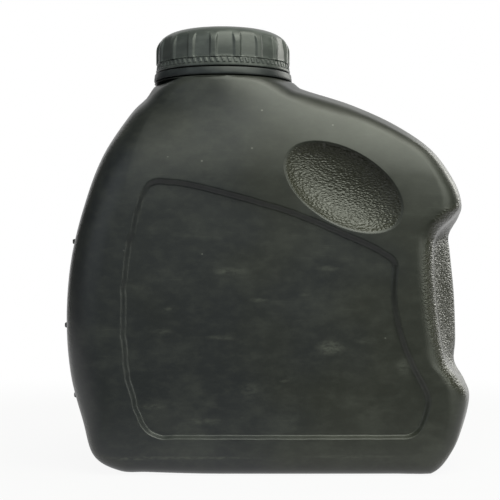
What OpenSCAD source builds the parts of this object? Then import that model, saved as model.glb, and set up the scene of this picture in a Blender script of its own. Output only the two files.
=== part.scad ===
// Flat blow-moulded oil bottle with a screw cap.
// Millimetres. +Z is up, the front face looks towards -Y and the grip is at +X.
// The origin is under the middle of the body, on the surface that it stands on.

/* [Body] */
// Overall width, from the level marks at the left to the lower lug at the right
body_w = 148; // [140:1:170]
// Depth, from the front face to the back face
body_d = 66; // [62:1:84]
// Height of the shoulder that the neck stands on
shoulder_z = 140; // [130:1:165]
// Thickness of the blown wall
wall = 1.2; // [0.8:0.1:1.6]
// How far the faces lean back where they reach the neck
shoulder_lean = 7.5; // [4:0.5:8]
// Height above which the faces lean back
lean_start = 103; // [95:1:108]
// How far the middle of the base is pushed up
base_push_up = 1.5; // [0.5:0.1:3]
// Width of the rim that the bottle stands on
base_rim_w = 12; // [10:0.5:16]

/* [Label panel] */
// Depth of the recess that takes the label
panel_depth = 1.3; // [0.8:0.1:2]
// Radius of the recess's corners
panel_corner_r = 4; // [2:0.5:6]

/* [Thumb dish] */
// Centre of the dish, to the right of the middle of the body
dish_x = 26.5; // [22:0.5:30]
// Height of the dish's centre
dish_z = 100; // [97:0.5:103]
// Length of the dish at the face
dish_l = 46.5; // [38:0.5:48]
// Width of the dish at the face
dish_w = 26.5; // [20:0.5:28]
// Depth of the dish
dish_depth = 6; // [3:0.5:8]
// How far the dish tilts down to the right, in degrees
dish_tilt = 34; // [28:1:40]

/* [Level marks] */
// Heights of the marks on the narrow left side
mark_heights = [25.5, 51, 81.5];
// Height of one mark
mark_h = 1.4; // [1:0.1:2]
// How far a mark stands proud of the wall
mark_proud = 0.8; // [0.4:0.1:1.2]
// Length of one mark, across the narrow side
mark_l = 16; // [8:1:22]

/* [Neck] */
// Centre of the neck, from the middle of the body
neck_x = -16; // [-20:0.5:-10]
// Diameter of the neck at the root of its thread
neck_d = 42.4; // [40:0.2:44]
// Thickness of the neck's wall
neck_wall = 2; // [1.6:0.1:3]
// How far the round collar on the shoulder stands out past the cap
collar_proud = 0.2; // [0:0.1:1]
// Distance between two turns of the thread
thread_pitch = 4; // [3.6:0.1:4.4]
// How far the thread stands out from its root
thread_depth = 1.2; // [1:0.05:1.3]
// Turns of the neck's thread
thread_turns = 1.75; // [1.25:0.25:1.75]
// Height of the plain land between the thread and the neck's rim
rim_land = 1.95; // [1.4:0.05:5]
// Height of the bead that holds the tamper ring
bead_h = 1.4; // [1:0.1:1.6]

/* [Screw cap] */
// Thickness of the plain band at the cap's foot
cap_wall = 2; // [1.7:0.1:2.6]
// Thickness of the cap's top
cap_top_t = 1.9; // [1.6:0.1:2.2]
// Radius of the cap's rounded upper edge
cap_dome_r = 6.5; // [4:0.5:6.5]
// Radius of the rounded corner inside the cap's top
ceiling_r = 3; // [2:0.5:3.5]
// Ridges round the cap
rib_count = 18; // [12:1:24]
// Width of one ridge
rib_w = 2.2; // [1.6:0.1:3]
// Depth of the flutes between the ridges
flute_depth = 0.55; // [0.3:0.05:0.6]
// Height of the plain band at the cap's foot
foot_band_h = 1.9; // [1.4:0.1:2.4]
// Height of the row of small teeth above that band
teeth_h = 2; // [1.4:0.1:2.4]
// Small teeth in the row
teeth_count = 72; // [48:6:90]

/* [Tamper ring and liner] */
// How far the tamper ring stands out past the cap
ring_proud = 0.7; // [0.3:0.1:1.2]
// Height of the tamper ring
ring_h = 2.4; // [2:0.1:3]
// Shadow gap between the shoulder and the tamper ring
ring_gap = 0.6; // [0.4:0.1:1]
// Slit between the tamper ring and the cap
slit = 0.5; // [0.3:0.1:0.8]
// Thickness of the sealing liner
liner_t = 1; // [0.6:0.1:1.4]

/* [Clearances] */
// Radial clearance between the two threads
thread_gap = 0.4; // [0.3:0.05:0.5]
// Clearance of a face that closes on another
seat_gap = 0.1; // [0.05:0.05:0.2]
// Clearance round a loosely held ring or disc
loose_gap = 0.3; // [0.2:0.05:0.4]

/* [Hidden] */
$fn = 96;
eps = 0.01;

half_w = body_w / 2;
half_d = body_d / 2;
neck_r = neck_d / 2;
mouth_r = neck_r - neck_wall;
crest_r = neck_r + thread_depth;
cap_bore_r = crest_r + thread_gap;
cap_r = cap_bore_r + cap_wall;
ring_r = cap_r + ring_proud;
collar_r = cap_r + collar_proud;
collar_h = 12;
collar_flare = 3.2;
liner_r = cap_bore_r - ceiling_r + sqrt(pow(ceiling_r, 2) - pow(ceiling_r - seat_gap, 2)) - loose_gap;

ring_z = shoulder_z + ring_gap;
cap_z = ring_z + ring_h + slit;
rim_bevel = 0.5;
lip_h = 1.6;
lip_r = neck_r + loose_gap;
lip_z = shoulder_z + loose_gap;
bead_z = lip_z + lip_h + loose_gap;
bead_top_r = neck_r + 0.5;
thread_root_w = 2.3;
thread_crest_w = 0.9;
thread_clear = 0.75;
thread_z = bead_z + bead_h + thread_root_w / 2 + thread_clear;
cap_thread_z = thread_z + thread_pitch / 2;
cap_thread_turns = thread_turns - 0.25;
rim_z = thread_z + thread_turns * thread_pitch + thread_root_w / 2 + rim_land;
liner_z = rim_z + seat_gap;
ceiling_z = liner_z + liner_t + seat_gap;
cap_top_z = ceiling_z + cap_top_t;

// The ends of the straight foot, in shares of half the width.
foot_right = 0.765;
foot_left = -0.7;

// The parting line as seen from the front, clockwise from the neck's right side. Each row holds
// x in shares of half the width, z in shares of the shoulder's height, how far the side leans in
// towards the face, the radius of the face's edge, and how far the finger scoop cuts in.
outline_rows = concat(
    [[(neck_x + collar_r) / half_w, 0.992, 5, 4, 0]],
    [
        [0.218, 0.979, 6, 4, 0], [0.405, 0.941, 7, 4, 0], [0.628, 0.892, 7.5, 4, 0],
        [0.806, 0.826, 7.5, 4, 0], [0.917, 0.742, 7, 4, 0], [0.963, 0.68, 6, 4, 0.5],
        [0.951, 0.645, 5.5, 4, 2], [0.909, 0.6, 5, 4.5, 4.5], [0.92, 0.55, 4.5, 4.5, 7],
        [0.937, 0.445, 4, 4.5, 8], [0.944, 0.33, 4, 4.5, 7], [0.942, 0.275, 4.5, 4.5, 4.5],
        [0.976, 0.225, 6, 5, 2], [0.998, 0.178, 7, 5, 0.5], [0.962, 0.105, 7.5, 5.5, 0],
        [0.893, 0.045, 6, 6, 0]
    ],
    [for (x = [foot_right, 0.6, 0.31, 0, -0.31, -0.56, foot_left]) [x, 0, 0, 6.5, 0]],
    [
        [-0.828, 0.042, 6, 7, 0], [-0.907, 0.12, 7.5, 8, 0], [-0.973, 0.24, 8, 8, 0],
        [-0.988, 0.385, 8, 8, 0], [-0.963, 0.54, 8, 8, 0], [-0.892, 0.695, 8, 8, 0],
        [-0.8, 0.812, 7.5, 7, 0], [-0.68, 0.912, 6, 5, 0], [-0.597, 0.95, 5.5, 4, 0]
    ],
    [
        [(neck_x - collar_r) / half_w, 0.99, 4.5, 4, 0],
        [(neck_x - collar_r / 2) / half_w, 1, 2, 3, 0],
        [neck_x / half_w, 1, 1, 3, 0],
        [(neck_x + collar_r / 2) / half_w, 1, 2, 3, 0]
    ]
);
outline_steps = 2;

// The recessed panel's corners, in shares of half the width and of the shoulder's height.
panel_rows = [
    [-0.565, 0.732], [-0.415, 0.732], [-0.203, 0.705], [0.132, 0.655], [0.507, 0.568],
    [0.608, 0.535], [0.593, 0.43], [0.644, 0.32], [0.77, 0.19], [0.73, 0.122], [0.68, 0.095],
    [-0.557, 0.095], [-0.618, 0.16], [-0.669, 0.26], [-0.684, 0.4], [-0.669, 0.54], [-0.608, 0.67]
];

// The middle of a face, which the rings of the shell close in on.
core_x = 0.4 * half_w;
core_low = 0.3 * shoulder_z;
core_high = 0.62 * shoulder_z;

side_steps = [0, 0.35, 0.7];
arc_steps = 4;
face_steps = [0.45, 0.9];
inner_side_steps = [0, 0.6];
inner_arc_steps = 3;
inner_face_steps = [0.85];

function clamp(v, low, high) = max(low, min(high, v));
function eased(k) = let (c = clamp(k, 0, 1)) c * c * (3 - 2 * c);

// One point of a smooth curve through p1 and p2.
function between(p0, p1, p2, p3, k) =
    (2 * p1 + (p2 - p0) * k + (2 * p0 - 5 * p1 + 4 * p2 - p3) * k * k
        + (3 * p1 - p0 - 3 * p2 + p3) * k * k * k) / 2;

function closed_curve(rows, steps) =
    let (n = len(rows))
    [
        for (i = [0:n - 1]) for (j = [0:steps - 1])
            between(rows[(i + n - 1) % n], rows[i], rows[(i + 1) % n], rows[(i + 2) % n], j / steps)
    ];

outline = closed_curve(outline_rows, outline_steps);

// Half the depth of the shell at a height: the faces are flat, then lean back to the neck.
lean_power = 1.5;
function half_depth(z) =
    half_d - shoulder_lean * pow(clamp((z - lean_start) / (shoulder_z - lean_start), 0, 1), lean_power);

// The finger scoop starts a little off the parting line, which leaves the spine of the grip. Both
// values are shares of half the depth.
spine_half = 0.1;
scoop_slope = 0.45;
function scoop(row, y) = row[4] * eased((y / half_d - spine_half) / scoop_slope);

function towards_core(x, z) =
    let (d = [clamp(x, -core_x, core_x) - x, clamp(z, core_low, core_high) - z]) d / norm(d);

// A point of the shell over one outline row. y is measured from the mid plane to a face of the
// nominal depth, inset from the parting line, skin inwards from the outer surface.
function shell_point(row, y, inset, side, skin) =
    let (
        x0 = row[0] * half_w,
        z0 = clamp(row[1], 0, 1) * shoulder_z,
        d = towards_core(x0, z0) * (inset + skin),
        z = clamp(z0 + d[1], skin, shoulder_z - skin)
    )
    [x0 + d[0], side * y / half_d * (half_depth(z) - skin), z];

function side_ring(k, side, skin) = [
    for (row = outline)
        let (y = k * (half_d - row[3]))
        shell_point(row, y, row[2] * pow(y / half_d, 2) + scoop(row, y), side, skin)
];

function arc_ring(angle, side, skin) = [
    for (row = outline)
        let (y = half_d - row[3] * (1 - sin(angle)))
        shell_point(row, y, row[2] * pow(y / half_d, 2) + scoop(row, y) + row[3] * (1 - cos(angle)),
            side, skin)
];

function face_ring(k, side, skin) = [
    for (p = arc_ring(90, side, skin))
        let (
            x = p[0] + (clamp(p[0], -core_x, core_x) - p[0]) * k,
            z = p[2] + (clamp(p[2], core_low, core_high) - p[2]) * k
        )
        [x, side * (half_depth(z) - skin), z]
];

// The rings of one half of the shell, from the parting line to the middle of the face.
function half_rings(side, skin, sides, arcs, faces) = concat(
    [for (k = sides) side_ring(k, side, skin)],
    [for (i = [0:arcs]) arc_ring(90 * i / arcs, side, skin)],
    [for (k = faces) face_ring(k, side, skin)]
);

function reversed(list) = [for (i = [len(list) - 1:-1:0]) list[i]];

// A closed solid through rings of equally many points, with a flat face at both ends.
module lofted(rings) {
    n = len(rings[0]);
    last = len(rings) - 1;
    points = [for (ring = rings) for (p = ring) p];
    faces = concat(
        [[for (i = [0:n - 1]) i]],
        [
            for (r = [0:last - 1]) for (i = [0:n - 1])
                let (a = r * n + i, b = r * n + (i + 1) % n)
                each [[a, a + n, b + n], [a, b + n, b]]
        ],
        [[for (i = [n - 1:-1:0]) last * n + i]]
    );
    polyhedron(points, faces);
}

module shell_form(skin, sides, arcs, faces) {
    back = half_rings(1, skin, sides, arcs, faces);
    front = half_rings(-1, skin, sides, arcs, faces);
    lofted(concat(reversed(front), [for (i = [1:len(back) - 1]) back[i]]));
}

module both_faces() {
    children();
    mirror([0, 1, 0]) children();
}

// The label panel's prism, from a depth below the front face outwards.
module panel_cut(grow) {
    translate([0, -half_d + panel_depth + grow, 0])
        rotate([90, 0, 0])
            linear_extrude(panel_depth + grow + 1)
                offset(r = grow + panel_corner_r)
                    offset(delta = -panel_corner_r)
                        polygon([for (p = panel_rows) [p[0] * half_w, p[1] * shoulder_z]]);
}

// The bowl that the thumb rests in: the end of an ellipsoid whose middle lies outside the face.
bowl_out = dish_depth / 2;
bowl_r = dish_depth + bowl_out;
bowl_spread = 1 / sqrt(1 - pow(bowl_out / bowl_r, 2));
bowl_rings = 9;
bowl_points = 36;
bowl_start = -20;
bowl_end = 88;

function bowl_ring(a, grow) = [
    for (i = [0:bowl_points - 1])
        let (t = 360 * i / bowl_points)
        [
            (dish_l / 2 * bowl_spread + grow) * cos(t) * cos(a),
            (dish_w / 2 * bowl_spread + grow) * sin(t) * cos(a),
            (bowl_r + grow) * sin(a)
        ]
];

module dish_cut(grow) {
    translate([dish_x, -half_depth(dish_z) - bowl_out, dish_z])
        rotate([0, dish_tilt, 0])
            rotate([-90, 0, 0])
                lofted([
                    for (i = [0:bowl_rings])
                        bowl_ring(bowl_start + (bowl_end - bowl_start) * i / bowl_rings, grow)
                ]);
}

// The pushed-up middle of the base, a flat recess with round ends.
module base_cut(grow) {
    reach_l = -foot_left * half_w - base_rim_w;
    reach_r = foot_right * half_w - base_rim_w;
    round_r = half_d - base_rim_w + grow;
    translate([0, 0, -1])
        linear_extrude(base_push_up + grow + 1)
            union() {
                translate([-reach_l + round_r - grow, 0]) circle(round_r);
                translate([reach_r - round_r + grow, 0]) circle(round_r);
                translate([-reach_l + round_r - grow, -round_r])
                    square([reach_l + reach_r - 2 * round_r + 2 * grow, 2 * round_r]);
            }
}

// Recesses in the outer skin, or with grow their backs, which stand into the hollow.
module recesses(grow) {
    both_faces() panel_cut(grow);
    both_faces() dish_cut(grow);
    base_cut(grow);
}

// A screw thread's ridge with run-outs at both ends. out is 1 on a neck and -1 in a cap.
thread_segments = 36;
thread_run_out = 5;
thread_sink = 0.5;
thread_fade = 0.2;

function thread_section(i, turns, root, out) =
    let (
        n = round(turns * thread_segments),
        rise = clamp(min(i, n - i) / thread_run_out, 0, 1),
        foot = root - out * thread_sink,
        tip = root + out * (thread_depth * rise - thread_fade * (1 - rise)),
        a = 360 * i / thread_segments,
        z = thread_pitch * i / thread_segments
    )
    [
        for (p = [
            [foot, -thread_root_w / 2], [tip, -thread_crest_w / 2],
            [tip, thread_crest_w / 2], [foot, thread_root_w / 2]
        ])
            [p[0] * cos(a), p[0] * sin(a), z + p[1]]
    ];

module thread(turns, root, out) {
    n = round(turns * thread_segments);
    sections = [for (i = [0:n]) thread_section(i, turns, root, out)];
    lofted(out > 0 ? reversed(sections) : sections);
}

left_side = [for (row = outline) if (row[0] < 0 && row[1] > 0.05 && row[1] < 0.9) row];

// The narrow left side's place at a height.
function left_x(z) = half_w * lookup(z / shoulder_z, [for (row = left_side) [row[1], row[0]]]);

mark_embed = 0.8 * wall;

module level_marks() {
    for (z = mark_heights)
        translate([left_x(z) - mark_proud, -mark_l / 2, z - mark_h / 2])
            cube([mark_proud + mark_embed, mark_l, mark_h]);
}

module neck_outside() {
    translate([neck_x, 0, shoulder_z - collar_h])
        cylinder(h = collar_h, r1 = collar_r + collar_flare, r2 = collar_r);
    translate([neck_x, 0, shoulder_z - collar_h])
        cylinder(h = rim_z - rim_bevel - shoulder_z + collar_h, r = neck_r);
    translate([neck_x, 0, rim_z - rim_bevel]) cylinder(h = rim_bevel, r1 = neck_r, r2 = neck_r - rim_bevel);
    translate([neck_x, 0, bead_z]) cylinder(h = bead_h, r1 = crest_r, r2 = bead_top_r);
    translate([neck_x, 0, thread_z]) thread(thread_turns, neck_r, 1);
}

module bottle() {
    color([0.16, 0.17, 0.17]) difference() {
        union() {
            shell_form(0, side_steps, arc_steps, face_steps);
            neck_outside();
            level_marks();
        }
        recesses(0);
        difference() {
            shell_form(wall, inner_side_steps, inner_arc_steps, inner_face_steps);
            recesses(wall);
        }
        translate([neck_x, 0, shoulder_z - collar_h])
            cylinder(h = rim_z - shoulder_z + collar_h + 1, r = mouth_r);
    }
}

// The ring's thin lip lies under the neck's bead and keeps it on the bottle.
ring_edge = 0.4;
ring_top_r = cap_r + 0.2;

module tamper_ring() {
    inner_r = crest_r + loose_gap;
    color([0.2, 0.21, 0.22]) translate([neck_x, 0, 0])
        rotate_extrude()
            polygon([
                [lip_r, lip_z], [inner_r, lip_z], [inner_r + ring_edge, ring_z],
                [ring_r - ring_edge, ring_z], [ring_r, ring_z + ring_edge],
                [ring_top_r, ring_z + ring_h], [inner_r, ring_z + ring_h],
                [inner_r, lip_z + lip_h], [lip_r, lip_z + lip_h]
            ]);
}

module cap_liner() {
    color([0.85, 0.86, 0.84]) translate([neck_x, 0, liner_z]) cylinder(h = liner_t, r = liner_r);
}

// The skirt over the plain foot band is set back by the step, and the teeth fill part of it.
skirt_step = 0.35;
teeth_proud = 0.25;
teeth_sink = 0.5;
teeth_gap = 0.2;
// How far the flutes reach into the rounded upper edge, as a share of its radius.
flute_reach = 0.45;
// The ridge next to the middle of the front lies this far to its left, in degrees.
rib_phase = 6.9;

skirt_r = cap_r - skirt_step;
teeth_z = cap_z + foot_band_h;
flute_z = teeth_z + teeth_h + teeth_gap;
flute_top_z = cap_top_z - cap_dome_r * (1 - flute_reach);

// A turned block from low to high with a round upper edge.
module domed(r, low, high, edge) {
    translate([0, 0, low]) cylinder(h = high - edge - low, r = r);
    rotate_extrude()
        union() {
            translate([0, high - edge]) square([r - edge, edge]);
            intersection() {
                translate([r - edge, high - edge]) circle(edge);
                translate([r - edge, high - edge]) square(edge);
            }
        }
}

module cap_blank() {
    domed(skirt_r, cap_z, cap_top_z, cap_dome_r);
    translate([0, 0, cap_z]) cylinder(h = foot_band_h, r = cap_r);
}

module flutes() {
    pitch = 360 / rib_count;
    rib_angle = rib_w / cap_r * 180 / PI;
    for (i = [0:rib_count - 1])
        rotate([0, 0, -90 - rib_phase + pitch * i + rib_angle / 2])
            rotate_extrude(angle = pitch - rib_angle)
                translate([skirt_r - flute_depth, flute_z])
                    square([flute_depth + 1, flute_top_z - flute_z]);
}

module teeth() {
    tooth_w = PI * cap_r / teeth_count;
    for (i = [0:teeth_count - 1])
        rotate([0, 0, 360 / teeth_count * i])
            translate([skirt_r - teeth_sink, -tooth_w / 2, teeth_z - eps])
                cube([teeth_sink + teeth_proud, tooth_w, teeth_h]);
}

module screw_cap() {
    color([0.24, 0.26, 0.27]) translate([neck_x, 0, 0])
        union() {
            difference() {
                union() {
                    cap_blank();
                    teeth();
                }
                flutes();
                domed(cap_bore_r, cap_z - 1, ceiling_z, ceiling_r);
            }
            translate([0, 0, cap_thread_z]) thread(cap_thread_turns, cap_bore_r, -1);
        }
}

bottle();
tamper_ring();
cap_liner();
screw_cap();
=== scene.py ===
"""Flat blow-moulded oil bottle with a screw cap, dressed for close views.

Sizes in the classes are millimetres and degrees, and meshes are scaled to metres when they are
done. +Z is up, the front face looks towards -Y and the grip is at +X.
"""

import logging
import math
from collections.abc import Iterable, Sequence
from dataclasses import dataclass
from enum import Enum

import bmesh
import bpy
import numpy as np
from bmesh.types import BMesh, BMVert
from mathutils import Matrix, Vector
from mathutils.geometry import delaunay_2d_cdt
from mathutils.kdtree import KDTree

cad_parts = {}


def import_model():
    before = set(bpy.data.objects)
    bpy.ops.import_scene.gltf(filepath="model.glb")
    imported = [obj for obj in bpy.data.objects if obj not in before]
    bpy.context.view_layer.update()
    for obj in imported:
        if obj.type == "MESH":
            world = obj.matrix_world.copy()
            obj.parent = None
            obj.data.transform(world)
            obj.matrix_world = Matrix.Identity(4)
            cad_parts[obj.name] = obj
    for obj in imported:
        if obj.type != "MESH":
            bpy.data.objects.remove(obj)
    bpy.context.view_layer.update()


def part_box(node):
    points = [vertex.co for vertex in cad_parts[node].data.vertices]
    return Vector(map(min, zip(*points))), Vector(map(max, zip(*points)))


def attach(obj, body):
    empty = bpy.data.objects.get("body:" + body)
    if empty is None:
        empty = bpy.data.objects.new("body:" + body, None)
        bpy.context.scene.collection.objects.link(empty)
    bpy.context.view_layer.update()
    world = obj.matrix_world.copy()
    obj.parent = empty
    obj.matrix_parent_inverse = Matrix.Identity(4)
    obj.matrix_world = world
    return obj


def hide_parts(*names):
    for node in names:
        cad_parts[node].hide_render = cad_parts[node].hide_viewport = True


MM = 0.001
UP = Vector((0, 0, 1))
SHARP = 35.0  # Edges that turn by more degrees than this stay sharp.
log = logging.getLogger("oil_bottle")

Ring = list[BMVert]
Triple = tuple[float, float, float]


class Stand(Enum):
    """Which way a thread's ridge stands from its root."""

    OUT = 1
    IN = -1


class Grain(Enum):
    """How strongly a stretch of the bottle carries the mould's pebble grain."""

    LIGHT = 0.4
    FULL = 1.0


def eased(share: np.ndarray) -> np.ndarray:
    """A share from 0 to 1, given a soft start and end."""
    held = np.clip(share, 0.0, 1.0)
    return held * held * (3 - 2 * held)


def soft(share: float) -> float:
    """One share from 0 to 1, given a soft start and end."""
    return float(eased(np.array(share)))


def inside(points: np.ndarray, loop: np.ndarray) -> np.ndarray:
    """Says which points lie inside a closed loop.

    Args:
        points: Rows of x and z.
        loop: Corners of the loop, as rows of x and z.

    Returns:
        One True or False for each point.
    """
    found = np.zeros(len(points), bool)
    for (x0, z0), (x1, z1) in zip(loop, np.roll(loop, -1, axis=0)):
        if z0 != z1:
            crossed = (z0 > points[:, 1]) != (z1 > points[:, 1])
            found ^= crossed & (points[:, 0] < x0 + (points[:, 1] - z0) / (z1 - z0) * (x1 - x0))
    return found


def clear_of(points: np.ndarray, holes: Sequence[np.ndarray]) -> np.ndarray:
    """Says which points lie outside all of some closed loops."""
    found = np.ones(len(points), bool)
    for hole in holes:
        found &= ~inside(points, hole)
    return found


def nearest(spots: np.ndarray) -> KDTree:
    """A tree that finds the nearest of many spots, given as rows of x and z."""
    tree = KDTree(len(spots))
    for i, (x, z) in enumerate(spots):
        tree.insert((x, z, 0), i)
    tree.balance()
    return tree


def spread_points(outline: np.ndarray, holes: Sequence[np.ndarray], step: float) -> np.ndarray:
    """Points spread evenly inside an outline and outside its holes, clear of the loops' own.

    Args:
        outline: Corners of the outer loop, as rows of x and z.
        holes: Corners of each hole.
        step: The distance between the points.

    Returns:
        The points, as rows of x and z.
    """
    low, high = outline.min(axis=0), outline.max(axis=0)
    spots = []
    for i, z in enumerate(np.arange(low[1], high[1], step * math.sqrt(0.75))):
        for x in np.arange(low[0] + (i % 2) * step / 2, high[0], step):
            spots.append((x, z))
    grid = np.array(spots)
    grid = grid[inside(grid, outline) & clear_of(grid, holes)]
    tree = nearest(np.concatenate([outline, *holes]))
    return np.array([p for p in grid if tree.find((p[0], p[1], 0))[2] > 0.75 * step])


def smooth_loop(rows: np.ndarray, steps: int) -> np.ndarray:
    """A smooth closed curve through rows of numbers, with steps points for each row."""
    p0, p1, p2, p3 = (np.roll(rows, shift, axis=0) for shift in (1, 0, -1, -2))
    spans = []
    for k in np.arange(steps) / steps:
        bend = (p2 - p0) * k + (2 * p0 - 5 * p1 + 4 * p2 - p3) * k**2
        spans.append((2 * p1 + bend + (3 * p1 - p0 - 3 * p2 + p3) * k**3) / 2)
    return np.stack(spans, axis=1).reshape(-1, rows.shape[1])


def rounded_loop(corners: Sequence[Triple], step: float) -> np.ndarray:
    """A closed line with its corners rounded.

    Args:
        corners: Rows of x, z and the length along each side that the corner's curve takes.
        step: The distance between the line's points.

    Returns:
        Evenly spaced points, as rows of x and z.
    """
    rows = np.array(corners, float)
    curve = []
    for last, here, following in zip(np.roll(rows, 1, axis=0), rows, np.roll(rows, -1, axis=0)):
        legs = [side[:2] - here[:2] for side in (last, following)]
        lengths = [np.linalg.norm(leg) for leg in legs]
        start, end = (
            here[:2] + leg / length * min(here[2], 0.49 * length)
            for leg, length in zip(legs, lengths)
        )
        for k in np.linspace(0, 1, 13):
            curve.append((1 - k) ** 2 * start + 2 * k * (1 - k) * here[:2] + k**2 * end)
    line = np.array(curve + curve[:1])
    run = np.concatenate([[0], np.cumsum(np.linalg.norm(np.diff(line, axis=0), axis=1))])
    at = np.linspace(0, run[-1], round(run[-1] / step), endpoint=False)
    return np.stack([np.interp(at, run, line[:, 0]), np.interp(at, run, line[:, 1])], axis=1)


def inward(loop: np.ndarray) -> np.ndarray:
    """Unit vectors that point into a closed loop, one for each of its points."""
    along = np.roll(loop, -1, axis=0) - np.roll(loop, 1, axis=0)
    across = np.stack([-along[:, 1], along[:, 0]], axis=1)
    area = np.sum(loop[:, 0] * np.roll(loop[:, 1], -1) - loop[:, 1] * np.roll(loop[:, 0], -1))
    return across / np.linalg.norm(across, axis=1)[:, None] * np.sign(area)


def circle_points(center: Vector, radius: float, z: float, count: int) -> np.ndarray:
    """Points of a level circle, as rows of x, y and z."""
    turn = np.arange(count) * 2 * math.pi / count
    x = center.x + radius * np.cos(turn)
    y = center.y + radius * np.sin(turn)
    return np.stack([x, y, np.full(count, z)], axis=1)


def draw_ring(bm: BMesh, points: np.ndarray) -> Ring:
    """Adds a closed line of vertices to a mesh."""
    ring = [bm.verts.new(point) for point in points]
    for a, b in zip(ring, ring[1:] + ring[:1]):
        bm.edges.new((a, b))
    return ring


def ring_edges(bm: BMesh, ring: Ring) -> list[bmesh.types.BMEdge]:
    """The edges that join a ring's neighbours."""
    return [bm.edges.get((a, b)) for a, b in zip(ring, ring[1:] + ring[:1])]


def extrude_ring(bm: BMesh, ring: Ring, points: np.ndarray) -> Ring:
    """Extrudes a ring and moves the new one to its own points.

    Args:
        bm: The mesh.
        ring: The vertices of a closed line.
        points: Where the new vertices go, in the ring's order.

    Returns:
        The new ring, in the same order.
    """
    made = bmesh.ops.extrude_edge_only(bm, edges=ring_edges(bm, ring))["geom"]
    fresh = {v for v in made if isinstance(v, BMVert)}
    following = [
        next(e.other_vert(v) for e in v.link_edges if e.other_vert(v) in fresh) for v in ring
    ]
    for vert, point in zip(following, points):
        vert.co = point
    return following


def loft(bm: BMesh, levels: Iterable[np.ndarray]) -> tuple[Ring, Ring]:
    """Draws a skin through closed lines of points, and returns its first and its last ring."""
    first: Ring = []
    ring: Ring = []
    for points in levels:
        ring = extrude_ring(bm, ring, points) if ring else draw_ring(bm, points)
        first = first or ring
    return first, ring


def everything(bm: BMesh) -> list[BMVert | bmesh.types.BMEdge | bmesh.types.BMFace]:
    """All vertices, edges and faces of a mesh."""
    return [*bm.verts, *bm.edges, *bm.faces]


def open_edges(bm: BMesh, z: float) -> list[bmesh.types.BMEdge]:
    """The open edges of a mesh that lie at a height."""
    return [
        e for e in bm.edges if e.is_boundary and all(abs(v.co.z - z) < 1e-3 for v in e.verts)
    ]


def take_in(bm: BMesh, part: BMesh) -> None:
    """Moves everything in one mesh into another. The first one is freed."""
    carrier = bpy.data.meshes.new("carrier")
    part.to_mesh(carrier)
    part.free()
    bm.from_mesh(carrier)
    bpy.data.meshes.remove(carrier)


def turned(bm: BMesh, center: Vector, profile: Sequence[tuple[float, float]], steps: int) -> Ring:
    """Spins a profile about an upright axis.

    Args:
        bm: The mesh that takes the turned form.
        center: A point of the axis.
        profile: Radius and height of each corner. A closed form repeats its first corner.
        steps: Facets in a full turn.

    Returns:
        The vertices of the turned form.
    """
    before = set(bm.verts)
    line = [bm.verts.new((center.x + r, center.y, z)) for r, z in profile]
    edges = [bm.edges.new(pair) for pair in zip(line, line[1:])]
    bmesh.ops.spin(
        bm, geom=line + edges, cent=center, axis=UP, angle=2 * math.pi, steps=steps, use_merge=True
    )
    made = [v for v in bm.verts if v not in before]
    bmesh.ops.remove_doubles(bm, verts=made, dist=1e-4)
    return [v for v in bm.verts if v not in before]


@dataclass(frozen=True)
class Thread:
    """A screw thread's ridge, with run-outs at both ends."""

    pitch: float = 4.0
    depth: float = 1.2
    root_w: float = 2.3
    crest_w: float = 0.9
    sink: float = 0.4
    run_out: float = 50.0
    end_sink: float = 0.2
    steps: int = 96

    def cut(
        self, bm: BMesh, center: Vector, root: float, z: float, turns: float, stand: Stand
    ) -> None:
        """Adds the ridge to a mesh.

        Args:
            bm: The mesh.
            center: A point of the axis.
            root: Radius of the wall that the ridge stands on.
            z: Height of the ridge's middle where it starts.
            turns: Length of the ridge in turns.
            stand: Whether it stands out from a neck or in from a cap's skirt.
        """
        way = stand.value
        corners = (
            (root - way * self.sink, -self.root_w / 2),
            (root + way * self.depth, -self.crest_w / 2),
            (root + way * self.depth, self.crest_w / 2),
            (root - way * self.sink, self.root_w / 2),
        )
        before = set(bm.verts)
        line = [bm.verts.new((center.x + r, center.y, z + dz)) for r, dz in corners]
        edges = [bm.edges.new((a, b)) for a, b in zip(line, line[1:] + line[:1])]
        count = round(turns * self.steps)
        last = bmesh.ops.spin(
            bm,
            geom=line + edges,
            cent=center,
            axis=UP,
            dvec=UP * self.pitch / self.steps,
            angle=turns * 2 * math.pi,
            steps=count,
        )["geom_last"]
        bm.faces.new(line)
        bm.faces.new([v for v in last if isinstance(v, BMVert)])
        for vert in [v for v in bm.verts if v not in before]:
            self.fade(vert, center, root, z, turns, way)

    def fade(
        self, vert: BMVert, center: Vector, root: float, z: float, turns: float, way: int
    ) -> None:
        """Draws a vertex back to the root near the ridge's ends."""
        arm = Vector((vert.co.x - center.x, vert.co.y - center.y, 0))
        turn = math.atan2(arm.y, arm.x) / (2 * math.pi) % 1
        turn += round((vert.co.z - z) / self.pitch - turn)
        near = min(turn, turns - turn) * 360 / self.run_out
        stand_out = way * (arm.length - root)
        if stand_out > 0 and near < 1:
            held = max(near, 0)
            arm.length = root + way * (stand_out * held - self.end_sink * (1 - held))
            vert.co.x, vert.co.y = center.x + arm.x, center.y + arm.y


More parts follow.
